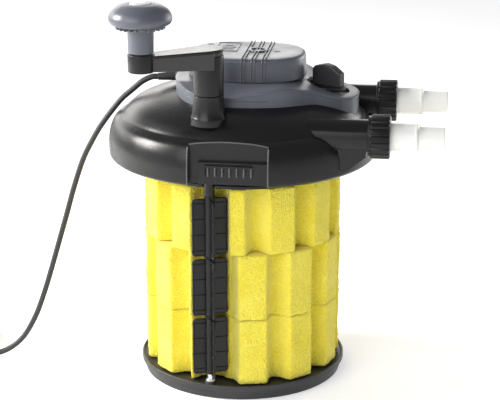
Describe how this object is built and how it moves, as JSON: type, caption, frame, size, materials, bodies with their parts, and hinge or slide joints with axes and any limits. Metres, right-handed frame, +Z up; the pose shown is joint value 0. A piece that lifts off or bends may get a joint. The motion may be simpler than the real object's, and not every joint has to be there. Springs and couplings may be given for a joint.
{
  "type": "pressurised pond filter insert",
  "caption": "Pond filter insert: domed head with hose tails, lamp housing and flow selector over stacked lobed foam rings, with a hand crank turning cleaning paddles.",
  "frame": {"origin": "centre of the base tray's flat underside", "axes": "+Z up along the foam stack, +X the way the hose tails point, -Y towards the crank and paddle shaft"},
  "size_m": [0.8506, 0.4242, 0.585],
  "materials": {
    "black_plastic": "moulded satin to gloss black",
    "grey_plastic": "satin blue-grey moulding",
    "light_grey_plastic": "satin pale grey cap",
    "white_plastic": "slightly translucent off-white moulding",
    "foam": "open-cell yellow filter foam",
    "rubber": "matt black seal rubber",
    "steel": "stainless",
    "quartz": "clear quartz",
    "lamp_glass": "lamp tube glass",
    "lens": "tinted clear lens",
    "cord_rubber": "black flexible cord sheath"
  },
  "bodies": {
    "head_and_cartridge": {"ballast": "black_plastic", "base_tray": "black_plastic", "cord": "cord_rubber", "cord_coil": "cord_rubber", "cord_gland": "rubber", "cord_tail": "cord_rubber", "core_tube": "black_plastic", "cover_screw_left": "steel", "cover_screw_right": "steel", "hose_tail_front": "white_plastic", "hose_tail_rear": "white_plastic", "lamp_base": "grey_plastic", "lamp_cover": "grey_plastic", "lamp_lens": "lens", "lamp_socket": "black_plastic", "lid": "black_plastic", "lid_seal": "rubber", "plug_body": "cord_rubber", "plug_pin_left": "steel", "plug_pin_right": "steel", "port_seal_front": "rubber", "port_seal_rear": "rubber", "quartz_sleeve": "quartz", "shaft_boss": "black_plastic", "shaft_bush": "white_plastic", "shaft_seal": "rubber", "sleeve_nut": "black_plastic", "sleeve_seal": "rubber", "top_plate": "black_plastic", "uv_lamp": "lamp_glass"},
    "crank": {"crank_arm": "black_plastic", "drive_shaft": "steel", "shaft_sleeve": "black_plastic", "knob_pin": "steel", "paddle_lower": "black_plastic", "paddle_middle": "black_plastic", "paddle_upper": "black_plastic"},
    "hand_knob": {"crank_knob": "grey_plastic", "knob_cap": "light_grey_plastic"},
    "foam_ring_lower": {"foam_lower": "foam"},
    "foam_ring_middle": {"foam_middle": "foam"},
    "foam_ring_upper": {"foam_upper": "foam"},
    "selector": {"selector_knob": "black_plastic", "selector_spindle": "black_plastic", "selector_rotor": "black_plastic"},
    "nut_front": {"union_nut_front": "black_plastic"},
    "nut_rear": {"union_nut_rear": "black_plastic"}
  },
  "joints": [
    {"name": "crank_turn", "type": "hinge", "parent": "head_and_cartridge", "child": "crank", "pos_m": [-0.0295, -0.1388, 0.45], "axis": [0, 0, 1], "continuous": true},
    {"name": "knob_spin", "type": "hinge", "parent": "crank", "child": "hand_knob", "pos_m": [-0.11696, -0.17325, 0.55], "axis": [0, 0, 1], "continuous": true},
    {"name": "foam_lower_turn", "type": "hinge", "parent": "head_and_cartridge", "child": "foam_ring_lower", "pos_m": [0, 0, 0.0715], "axis": [0, 0, 1], "continuous": true, "deforming": ["foam_lower"]},
    {"name": "foam_middle_turn", "type": "hinge", "parent": "head_and_cartridge", "child": "foam_ring_middle", "pos_m": [0, 0, 0.1695], "axis": [0, 0, 1], "continuous": true, "deforming": ["foam_middle"]},
    {"name": "foam_upper_turn", "type": "hinge", "parent": "head_and_cartridge", "child": "foam_ring_upper", "pos_m": [0, 0, 0.2675], "axis": [0, 0, 1], "continuous": true, "deforming": ["foam_upper"]},
    {"name": "selector_turn", "type": "hinge", "parent": "head_and_cartridge", "child": "selector", "pos_m": [0.125, 0, 0.434], "axis": [0, 0, 1], "range_deg": [0, 90]},
    {"name": "nut_front_turn", "type": "hinge", "parent": "head_and_cartridge", "child": "nut_front", "pos_m": [0.205, -0.106, 0.39], "axis": [1, 0, 0], "continuous": true},
    {"name": "nut_rear_turn", "type": "hinge", "parent": "head_and_cartridge", "child": "nut_rear", "pos_m": [0.205, 0.106, 0.39], "axis": [1, 0, 0], "continuous": true}
  ],
  "couplings": [
    {"joint": "foam_lower_turn", "follows": "crank_turn", "ratio": -0.33333},
    {"joint": "foam_middle_turn", "follows": "crank_turn", "ratio": -0.33333},
    {"joint": "foam_upper_turn", "follows": "crank_turn", "ratio": -0.33333}
  ]
}
